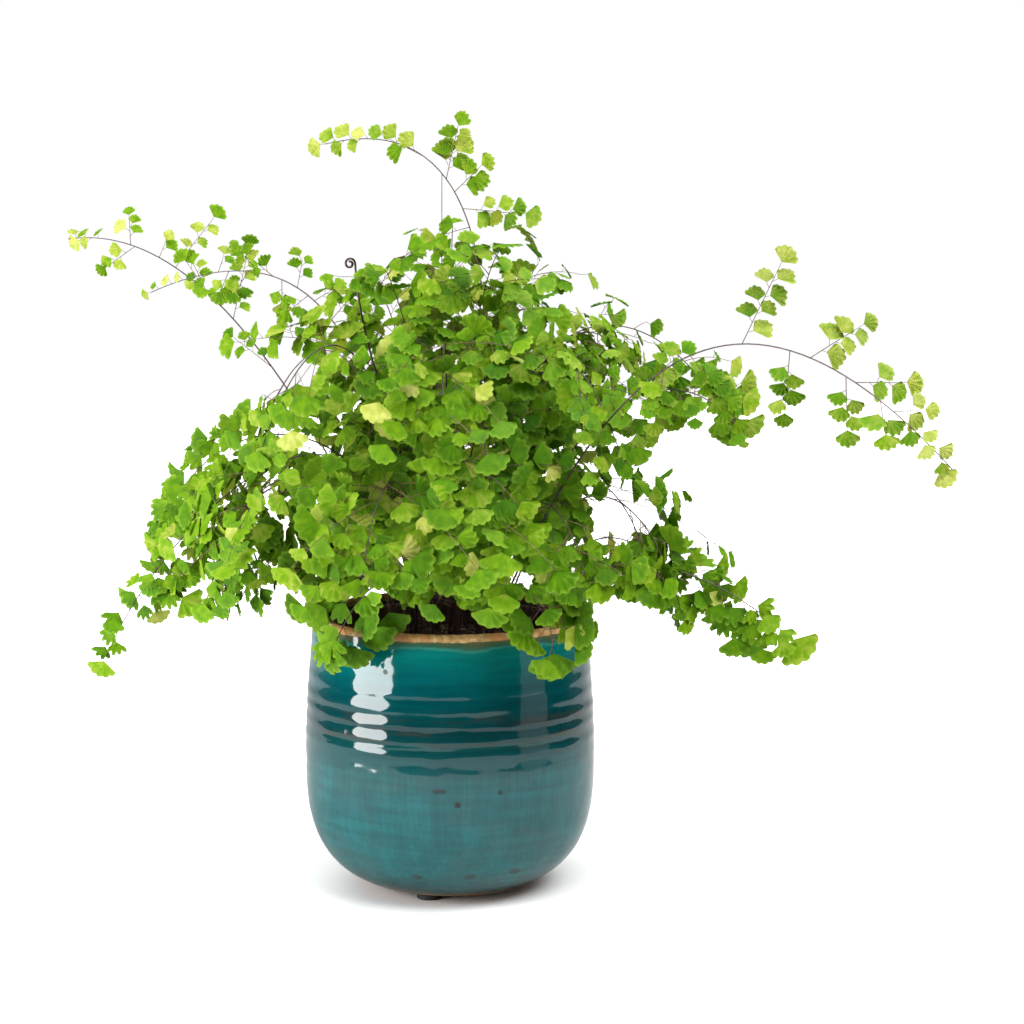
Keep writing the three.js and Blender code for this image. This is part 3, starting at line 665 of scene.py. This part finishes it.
def at(line, share):
    """The point and direction at a share of an evenly spaced line."""
    place = min(max(share, 0), 1) * (len(line) - 1)
    k = min(int(place), len(line) - 2)
    return line[k].lerp(line[k + 1], place - k), (line[k + 1] - line[k]).normalized()


def length_of(line):
    return sum((other - one).length for one, other in zip(line, line[1:]))


def arched(start, middle, end, count=8):
    """A curved line that leaves the start towards the middle point."""
    shares = [k / (count - 1) for k in range(count)]
    return evenly([start.lerp(middle, s).lerp(middle.lerp(end, s), s) for s in shares], count)


def upright(bearing, out, height):
    """A point so far out from the pot's axis at a bearing, and so high, from millimetres."""
    turn = math.radians(bearing)
    return Vector((out * math.cos(turn), out * math.sin(turn), height)) / 1000


# Openings that the photo shows between the fronds, as (right, up, reach) in millimetres in the view from
# the front, and the lower fringe of the leaves, as (right, up).
OPENINGS = [
    (-90.2, 246.6, 12), (-72, 251.4, 10), (-108, 250, 11), (85.3, 182, 16), (113.2, 212.6, 11),
    (137.3, 195.6, 8), (156, 208, 13), (123.8, 178.6, 14.5), (-129.7, 276.7, 15), (-52.7, 307.3, 8),
    (56.5, 316, 7), (110.8, 279, 10), (-42.2, 313.1, 9), (-50.3, 319.4, 11), (-31.1, 321.8, 8),
    (-61.4, 318.4, 9), (65.1, 317, 13), (74.7, 304.9, 7), (-151.3, 210.2, 15), (-139.3, 222.3, 12),
]
FRINGE = [
    (-300, 96), (-165, 98), (-150, 117), (-140, 125), (-128, 132), (-120, 125), (-106, 127), (-100, 134),
    (-88, 130), (-84, 121), (-74, 121), (-62, 133), (68, 136), (100, 134), (106, 123), (118, 114),
    (128, 102), (145, 98), (170, 92), (300, 92),
]


def seen_from_front(point):
    """Where a point shows from the front, in millimetres right and up at the pot's axis."""
    nearer = DISTANCE / (DISTANCE + point.y)
    right = AIM.x + (point.x - AIM.x) * nearer
    height = AIM.z + (point.z - AIM.z + math.sin(LOOK_DOWN) * point.y) * nearer
    return right * 1000, height * 1000


def in_an_opening(middle, lowest):
    """Whether a leaf there would fill an opening or hang below the fringe."""
    right, height = seen_from_front(middle)
    if any(math.hypot(right - x, height - z) < reach for x, z, reach in OPENINGS):
        return True
    right, height = seen_from_front(lowest)
    for (one, low), (other, high) in zip(FRINGE, FRINGE[1:]):
        if one <= right < other:
            return lowest.y < 0.03 and height < low + (high - low) * (right - one) / (other - one)
    return False


class Frond:
    """One frond while it grows: its lines of stem and twig, and its leaflets."""

    def __init__(self, name, facing=None, tone=0.0, airy=False, cut=False):
        self.name = name
        self.draw = random.Random(name)
        self.facing = facing
        self.tone = tone
        self.airy = airy
        self.cut = cut
        self.leaflets = []
        self.lines = {"stem": [], "twig": []}

    def add_line(self, kind, points, start_radius, end_radius):
        self.lines[kind].append((points, start_radius, end_radius))

    def outward(self, point):
        """The way the blades face there: to the viewer, or away from the crown's middle."""
        if self.facing is not None:
            return upright(self.facing, 1000, 450).normalized()
        return Vector((point.x, point.y - 0.03, 0.5 * (point.z - 0.165))).normalized()

    def tint_and_painted_light_at(self, foot):
        """A leaf's paleness, blueness and brownness there. Leaves high up, far out and on the right are
        painted paler and those near the crown's middle darker: painted light and shade over a random tone.
        """
        draw = self.draw
        far = math.hypot(foot.x, foot.y)
        # Painted light and shade: paler higher up, further out and to the right, darker near the crown's
        # middle.
        tone = 0.30 + self.tone + 1.3 * (foot.z - 0.17)
        tone += 1.6 * max(far - 0.11, 0) - 2.5 * max(0.06 - far, 0)
        tone += 0.6 * max(foot.x - 0.03, 0) + (0.14 if self.name == "frond_top" else 0)
        tone += draw.uniform(-0.20, 0.20) + (0.35 if draw.random() < 0.05 else 0)
        blue = 0.45 * draw.random() if foot.x > 0.02 and foot.z > 0.2 else 0.12 * draw.random()
        brown = 0.4 if draw.random() < 0.008 else 0.0
        return min(max(tone, 0), 1), blue, brown, 1

    def add_leaflet(self, foot, heading, branch_ahead, size, kind="side"):
        """A blade tilted at random that hangs a little; gives the shift that keeps it in the plain box."""
        draw = self.draw
        face = self.outward(foot)
        face += Vector([draw.uniform(-0.42, 0.42) for _ in range(3)])
        droop = draw.uniform(0.0, 0.3) if self.airy else draw.uniform(0.1, 0.8)
        heading = (heading + Vector((0, 0, -droop))).normalized()
        face = (face - heading * face.dot(heading)).normalized()
        across = heading.cross(face).normalized()
        if kind == "side":
            side = "plus" if across.dot(branch_ahead) > 0 else "minus"
            kind = ("cut_" if self.cut else "side_") + side
        turned_to = Matrix((across, heading, face)).transposed().to_4x4()
        size *= draw.uniform(0.76, 1.14)
        breadth = size * draw.uniform(0.9, 1.08) * (0.86 if self.airy else 1)
        stretch = Matrix.Diagonal((breadth, size, size * draw.uniform(0.3, 1.9), 1))
        copy = add_object("leaflet", forms[kind].data.copy())
        copy.data.transform(Matrix.Translation(foot) @ turned_to @ stretch)
        corners = [vertex.co for vertex in copy.data.vertices]
        shift = Vector((0, 0, 0))
        for axis in range(3):
            lowest = min(corner[axis] for corner in corners) - cad_box[0][axis] - 0.0004
            highest = max(corner[axis] for corner in corners) - cad_box[1][axis] + 0.0004
            shift[axis] = -min(lowest, 0) - max(highest, 0)
        copy.data.transform(Matrix.Translation(shift))
        copy.data.color_attributes["tint"].data.foreach_set("color", self.tint_and_painted_light_at(foot) * len(corners))
        self.leaflets.append(copy)
        return shift

    def add_stalked(self, point, heading, branch_ahead, size, kind="side"):
        """A leaflet on a hair-thin stalk; false if it would fill an opening."""
        foot = point + heading * STALK_LENGTH + STALK_LIFT * self.outward(point)
        lowest = foot + Vector((0, 0, -size * 0.8))
        if "front" not in self.name and in_an_opening(foot + heading * size * 0.6, lowest):
            return False
        shift = self.add_leaflet(foot, heading, branch_ahead, size, kind)
        self.add_line("twig", [point, foot + shift + heading * 0.0008], *STALK_RADII)
        return True

    def finish(self):
        """Joins stem, twigs and leaflets into one piece in place of the plain frond."""
        parts = list(self.leaflets)
        for kind, material in (("stem", stem_dark), ("twig", twig_brown)):
            curve = bpy.data.curves.new(f"{self.name}_{kind}", "CURVE")
            curve.dimensions = "3D"
            curve.bevel_depth = 0.001
            curve.bevel_resolution = 1
            curve.use_fill_caps = True
            for points, start_radius, end_radius in self.lines[kind]:
                spline = curve.splines.new("POLY")
                spline.points.add(len(points) - 1)
                for k, point in enumerate(points):
                    share = k / (len(points) - 1)
                    spline.points[k].co = (*point, 1)
                    spline.points[k].radius = start_radius + (end_radius - start_radius) * share
            select_only(add_object(curve.name, curve))
            bpy.ops.object.convert(target="MESH")
            close_mesh(1e-6)
            bpy.ops.object.shade_smooth()
            bpy.context.object.data.materials.append(material)
            parts.append(bpy.context.object)
        select_only(*parts)
        bpy.ops.object.join()
        piece = bpy.context.object
        piece.name = self.name.replace("frond", "leafy_frond").replace("crozier", "young_coiled_frond")
        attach(piece, "root")
        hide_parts(self.name)


def clothe(frond, line, side, leaf, breadth, count=None):
    """Leaflets by turns on both sides of a branch, on twigs of three where it is broad; gives the share
    of the branch at the last one."""
    draw = frond.draw
    last = 0
    length = length_of(line)
    bare = 0.004 if count else 0.006
    count = count or max(int((length - bare) / (leaf * 0.74)), 1) + 1
    pitch = (length - bare) / count
    for k in range(count - 1):
        share = (bare + (k + 0.5 + draw.uniform(-0.2, 0.2)) * pitch) / length
        point, ahead = at(line, share)
        across = (side - ahead * side.dot(ahead)).normalized()
        normal = across.cross(ahead)
        hand = 1 - 2 * (k % 2)
        lean = math.radians(draw.uniform(46, 66))
        out = ahead * math.cos(lean) + across * hand * math.sin(lean)
        smaller = 1 - 0.25 * share
        twig = breadth * (1 - 0.75 * share) * draw.uniform(0.8, 1.15)
        if twig < leaf * 0.55:
            if frond.add_stalked(point, out, ahead, leaf * smaller):
                last = share
            continue
        tip = point + out * twig + Vector((0, 0, -0.12 * twig))
        thread = arched(point, point + out * twig * 0.5, tip, 4)
        grown = []
        for along, swing in ((0.42, 1), (0.72, -1)):
            place, onward = at(thread, along)
            beside = Matrix.Rotation(math.radians(55) * swing, 3, normal) @ onward
            grown.append(frond.add_stalked(place, beside, onward, leaf * smaller * 0.95))
        grown.append(frond.add_stalked(tip, at(thread, 1)[1], ahead, leaf * smaller, kind="fan"))
        if any(grown):
            frond.add_line("twig", thread, *THREAD_RADII)
            last = share
    tip, ahead = at(line, 1)
    return 1 if frond.add_stalked(tip, ahead, ahead, leaf * 0.85, kind="fan") else last


# Fronds. Each grew as one piece from the soil: a stem that arches up and out, with branches by turns on
# both sides of its upper part and leaflets all along them. Their places are the plain fronds' own.
STEM_FOOT = 110
# Those that stand out, as (bearing round the pot, root's distance out, two bends and the tip as (distance
# out, height) in millimetres, leaflet size, bearing that the leaves face, leaflets of each branch where
# the photo doesn't show them singly).
OUTER_FRONDS = {
    "upper_left": (137, 18, (77, 204), (166, 320), (288, 305), 13, 270),
    "left_second": (151, 13, (35, 234), (54, 330), (174, 283), 13, 270),
    "top": (170, 2, (-30, 260), (-30, 380), (60, 358), 13, 270),
    "right_long": (317.3, 18, (91, 254), (167, 327), (288, 227), 14, 270),
    "right_droop": (338, 20, (30, 200), (110, 300), (157, 211), 16, 270),
    "right_low": (348, 27, (52, 172), (118, 176), (173, 119), 15, 270),
    "left_low": (195, 22, (21, 297), (142, 184), (168, 115), 14, 270),
    "left_arch": (173, 20, (10, 228), (108, 252), (142, 173), 16, 270),
    "right_high": (20, 13, (10, 282), (90, 306), (142, 228), 16, 270, 4, 3, 2),
    "front_left": (235, 27, (26, 185), (82, 150), (90, 128), 22, 235),
    "front_right": (300, 27, (24, 182), (116, 152), (94, 122), 24, 300),
    "front_centre": (281, 26, (30, 260), (130, 260), (104, 155), 22, 270, 4, 3, 2),
}
# The rings of like fronds that fill the crown, as (how many, first bearing, and then as above).
RINGS = {
    "inner": (5, 14, 8, (9, 190), (20, 288), (56, 312), 19, 3, 2, 2),
    "middle": (7, 12, 16, (22, 235), (62, 325), (106, 222), 20.5, 4, 3, 2),
    "outer": (8, 32, 23, (38, 200), (94, 240), (122, 146), 20.5, 4, 3),
    "low": (4, 8, 29, (46, 168), (86, 182), (104, 132), 20, 3, 2),
}
# The branches that the photo shows singly, as (thousandths of the stem, millimetres to the right,
# millimetres up, leaflets).
SEEN_BRANCHES = {
    "right_long": [
        (576, 21, -28, 8), (659, 16, 36, 8), (732, -2, -26, 6), (763, 22, 14, 6), (819, 0, -21, 5),
        (834, 21, 0, 4), (875, 1, -12, 3), (897, 11, 1, 3), (500, 14, 12, 5), (530, -4, -22, 6),
    ],
    "upper_left": [
        (491, -19, 15, 6), (597, 9, 38, 9), (607, -13, 12, 4), (666, -6, 16, 4), (709, -19, -4, 6),
        (743, 20, 26, 6), (782, 3, 7, 2), (840, -14, -10, 4), (850, -1, 14, 4), (440, 16, 22, 7),
    ],
    "top": [
        (731, 29, -2, 7), (784, 6, 27, 6), (833, -19, 10, 4), (700, -15, -4, 3), (760, 12, 12, 4),
        (640, -22, 8, 5), (600, 24, 4, 6), (560, -16, 16, 5),
    ],
    "right_low": [
        (476, 4, 10, 5), (546, 2, 10, 4), (572, 9, 9, 5), (623, 12, 3, 4), (551, 10, -18, 5),
        (671, 13, -2, 4), (650, 6, -16, 5), (712, 6, -22, 5), (769, 10, -6, 3), (781, 4, -18, 4),
        (821, 3, -17, 3), (856, 6, -9, 3), (514, -4, -12, 4),
    ],
    "left_low": [
        (725, -12, -5, 4), (760, -9, -7, 4), (794, -3, -6, 3), (811, 15, 0, 5), (822, 14, -8, 4),
        (834, -9, -5, 3), (859, 6, -8, 3), (884, -5, -4, 2), (699, 2, -15, 5), (677, 7, -14, 5),
    ],
    "right_droop": [
        (635, 7, -14, 5), (678, 5, 10, 4), (713, 7, -11, 5), (750, 6, -6, 4), (787, 12, 3, 4),
        (774, 8, 6, 3), (836, 12, 2, 4), (823, 14, 7, 4), (846, 6, -11, 4), (868, 8, -3, 2),
        (891, 5, -6, 2),
    ],
    "left_second": [
        (600, 12, 14, 6), (580, 16, 7, 5), (540, 10, 12, 5), (563, 9, 8, 5), (579, -9, -6, 5),
        (622, -8, -8, 5), (646, 8, 5, 4), (661, -8, -6, 4), (686, 4, 19, 5), (720, 0, -10, 4),
        (738, -6, 6, 3), (767, -8, 10, 4), (791, -5, -9, 3), (830, -4, -9, 3), (852, 2, 7, 2),
        (886, -4, -8, 3), (899, -4, 6, 2),
    ],
    "left_arch": [
        (600, 1, -11, 4), (651, -10, 7, 4), (691, -7, 5, 3), (701, -1, -13, 4), (742, -12, 2, 5),
        (750, -4, -12, 4), (793, -11, 1, 4), (806, -1, -14, 4), (841, -10, -2, 3), (853, -3, -17, 4),
        (889, -8, -5, 3), (902, -1, -14, 3), (548, -1, 10, 4), (522, -4, -12, 4),
    ],
    "front_left": [
        (500, 10, -2, 3), (550, -14, 4, 4), (600, -34, -10, 5), (660, -18, -8, 4), (700, 6, -12, 2),
        (760, 5, -3, 1), (820, -5, -9, 2), (880, 3, -8, 2), (900, -3, -4, 1), (560, 4, -12, 1),
    ],
    "front_right": [
        (500, -10, -4, 3), (560, 8, 8, 4), (620, -6, -8, 3), (660, 14, 4, 4), (720, 16, -2, 4),
        (780, 18, -6, 3), (740, -6, -8, 2), (820, -5, -7, 1), (840, 9, 1, 2), (880, 8, -3, 1),
        (900, -2, -5, 1),
    ],
}
# Fronds whose branches are short and close together, with their length beside the others' and how far
# they lean back towards the crown.
COMPACT_FRONDS = {
    "left_low": (0.62, 0.5), "right_low": (0.66, 0.5), "left_arch": (0.72, 0.4), "left_second": (0.7, 0),
    "right_droop": (0.62, 0.3), "front_right": (0.45, 0.2), "front_left": (0.5, 0.1),
}
CUT_FRONDS = ("left_low", "left_arch", "right_low", "front_left")
# Fronds with narrow leaflets, and their leaflets' length beside the others'.
SLENDER_FRONDS = {"upper_left": 0.92, "left_second": 0.92, "top": 1.12, "right_long": 1.1}
# The leaflets past the last branch: how many, how far along the end they reach, and their size.
STEM_ENDS = {
    "right_low": (1, 0.25, 1.3), "left_low": (4, 0.8, 0.8), "right_droop": (5, 1, 0.4),
    "front_left": (2, 0.6, 1.1), "front_right": (1, 0.1, 1.6), "left_second": (6, 1, 0.9),
}
# The plain fronds' own measures, in leaflet sizes and millimetres, and the metres between their joints
LEAFLET_PITCH = 0.54
STALK = 8
STEM_STEP = 0.037


def chance(seed):
    """A repeatable number from 0 to 1 for each seed."""
    wave = math.sin(seed * 12.9898 + 4.1414) * 43758.5453
    return wave - math.floor(wave)


def between(low, high, seed):
    return low + (high - low) * chance(seed)


def pinna_length(leaflets, size):
    return (STALK + ((leaflets + 0.35) * LEAFLET_PITCH + 1) * size) / 1000


def plain_branches(pinnae, steps, first_hand, size):
    """The plain frond's branches and a smaller one after each, as (share of the path, reach, side)."""
    branches = []
    for k, leaflets in enumerate(pinnae):
        joint = min(steps - len(pinnae) + k, steps - 1)
        hand = 1 - 2 * ((k + first_hand) % 2)
        reach = pinna_length(leaflets, size)
        branches += [((joint + 0.5) / steps, reach, hand), ((joint + 0.95) / steps, reach * 0.75, -hand)]
    return branches


def lower_branches(draw, highest, pitch, most, reach, shorter=1):
    """Branches below those, down to four tenths of the path."""
    branches = []
    for k in range(1, most + 1):
        share = highest - pitch * k
        if share > 0.40:
            branches.append((share, reach * draw.uniform(0.6, 0.85) * shorter, 1 - 2 * (k % 2)))
    return branches


def grow(name, bearing, root, bends, tip, size, facing, pinnae, index):
    """A frond along its stem, with the branches that the photo shows, or else the plain frond's."""
    seen = SEEN_BRANCHES.get(name)
    cut = name in CUT_FRONDS
    tone = between(-0.08, 0.08, index + 0.5)
    frond = Frond(f"frond_{name}", facing, tone, name in SLENDER_FRONDS, cut)
    draw = frond.draw
    knots = [upright(bearing, *point) for point in ((root, STEM_FOOT), *bends, tip)]
    stem = evenly(interpolate_bezier(*knots, 120), 61)
    leaf = (3.4 + 0.36 * size) / 1000 * (1.22 if cut else SLENDER_FRONDS.get(name, 1))
    stem_length = length_of(stem)
    path_end = 0.91 if seen else 1 - pinna_length(2, size) / stem_length
    shorter, lean = COMPACT_FRONDS.get(name, (1, 0))
    few, kept, end_size = STEM_ENDS.get(name, (6, 1, 1))

    def add_branch(share, away, reach, count=None):
        start = at(stem, share)[0]
        inward = Vector((-math.copysign(1, start.x), 0, 0.8))
        away = (away.normalized() + inward * (0 if count else lean)).normalized()
        for _ in range(4):
            end = start + (away - Vector((0, 0, 0.3))) * reach
            if "front" in name or not in_an_opening(end, end):
                break
            reach *= 0.7
        else:
            return
        sag = 0.02 if count else 0.26
        end = start + (away * 0.95 - Vector((0, 0, sag))) * reach
        line = arched(start, start + away * reach * 0.5, end)
        side = away.cross(frond.outward(start)).normalized()
        last = clothe(frond, line, side, leaf, 0 if count else size * 0.00048, count)
        if last:
            frond.add_line("twig", [at(line, last * step / 7)[0] for step in range(8)], *BRANCH_RADII)

    if name == "top":
        # Its first branch leaves low down and rises straight, bare to its tip
        knots = ((-0.0032, 0.004, 0.12), (-0.0038, 0.002, 0.24), (-0.0032, 0, 0.344))
        straight = [Vector(knot) for knot in knots]
        frond.add_line("stem", evenly(straight, 12), 0.30, 0.18)
        clothe(frond, evenly([straight[2], Vector((0.0040, 0, 0.3540))], 6), Vector((0, 0, 1)), leaf, 0, 4)
    for thousandths, right, up, leaflets in seen or ():
        away = Vector((right, draw.uniform(-9, 9), up)) / 1000
        add_branch(thousandths / 1000, away, away.length, leaflets)
    branches = []
    if not seen:
        steps = max(round(stem_length * path_end / STEM_STEP), len(pinnae) + 3)
        branches = plain_branches(pinnae, steps, index % 2, size)
        branches += lower_branches(draw, branches[0][0], 0.42 / steps, 6, pinna_length(3, size))
    elif name in COMPACT_FRONDS:
        lowest = min(branch[0] for branch in seen) / 1000 / path_end + 0.04
        branches = lower_branches(draw, lowest, 0.015 / stem_length, 29, pinna_length(3, size), shorter)
    for share, reach, hand in branches:
        point, ahead = at(stem, share * path_end)
        face = frond.outward(point)
        spread = (face if facing is not None else Vector((0, 0, 1))).cross(ahead).normalized()
        fork = math.radians(52 + draw.uniform(-10, 10))
        away = ahead * math.cos(fork) + spread * hand * math.sin(fork) + face * draw.uniform(-0.2, 0.45)
        add_branch(share * path_end, away, reach * (1 - 0.45 * share**2 if facing is not None else 1))
    start, ahead = at(stem, path_end)
    line = [at(stem, path_end + (1 - path_end) * share * kept)[0] for share in (0, 0.2, 0.4, 0.6, 0.8, 1)]
    side = ahead.cross(frond.outward(start)).normalized()
    if seen:
        last = clothe(frond, line, side, leaf * end_size, 0, few)
    else:
        last = clothe(frond, line, side, leaf, size * 0.00045)
    last = path_end + (1 - path_end) * kept * last
    frond.add_line("stem", [at(stem, last * step / 60)[0] for step in range(61)], *STEM_RADII)
    for k, share in enumerate(() if seen else (0.12, 0.30, 0.48, 0.66)):
        ahead = at(line, share)[1]
        away = ahead * 0.6 + side * (0.8 - 1.6 * (k % 2)) + frond.outward(start) * draw.uniform(-0.2, 0.5)
        add_branch(path_end + (1 - path_end) * share, away, pinna_length(2, size) * (0.75 - 0.4 * share))
    frond.finish()


index = 0
for name, (bearing, root, low, high, tip, size, facing, *pinnae) in OUTER_FRONDS.items():
    grow(name, bearing, root, (low, high), tip, size, facing, pinnae, index)
    index += 1
for tier, (ring, (count, first, root, low, high, tip, size, *pinnae)) in enumerate(RINGS.items()):
    for k in range(count):
        seed = 100 * (tier + 1) + k
        stretch = 1 + between(-0.07, 0.07, seed)
        bends = [(out * stretch, height + (stretch - 1) * 120) for out, height in (low, high, tip)]
        bearing = first + 360 * k / count + between(-6, 6, seed + 50)
        grow(f"{ring}_{k + 1}", bearing, root, bends[:2], bends[2], size, None, pinnae, index)
        index += 1


# Crozier. The youngest frond, a bare dark stem without leaves, still coiled at its tip like a watch
# spring. It thickens towards the coil.
crozier = Frond("crozier")
knots = [upright(205, *point) for point in ((5, STEM_FOOT), (8, 190), (46, 250), (48, 303))]
stem = evenly(interpolate_bezier(*knots, 60), 31)
heading = (stem[-1] - stem[-2]).normalized()
outward = upright(205, 1000, 0)
inward = (outward - heading * outward.dot(heading)).normalized()
COIL_RADIUS = 0.0027
coil = []
for step in range(1, 33):
    share = step / 32
    radius = COIL_RADIUS * (1 - 0.66 * share)
    turn = share * 1.3 * 2 * math.pi
    over = inward * (COIL_RADIUS - radius * math.cos(turn)) + heading * radius * math.sin(turn)
    coil.append(stem[-1] + over)
crozier.add_line("stem", stem + coil, 0.42, 0.62)
crozier.finish()
for form in forms.values():
    bpy.data.objects.remove(form)
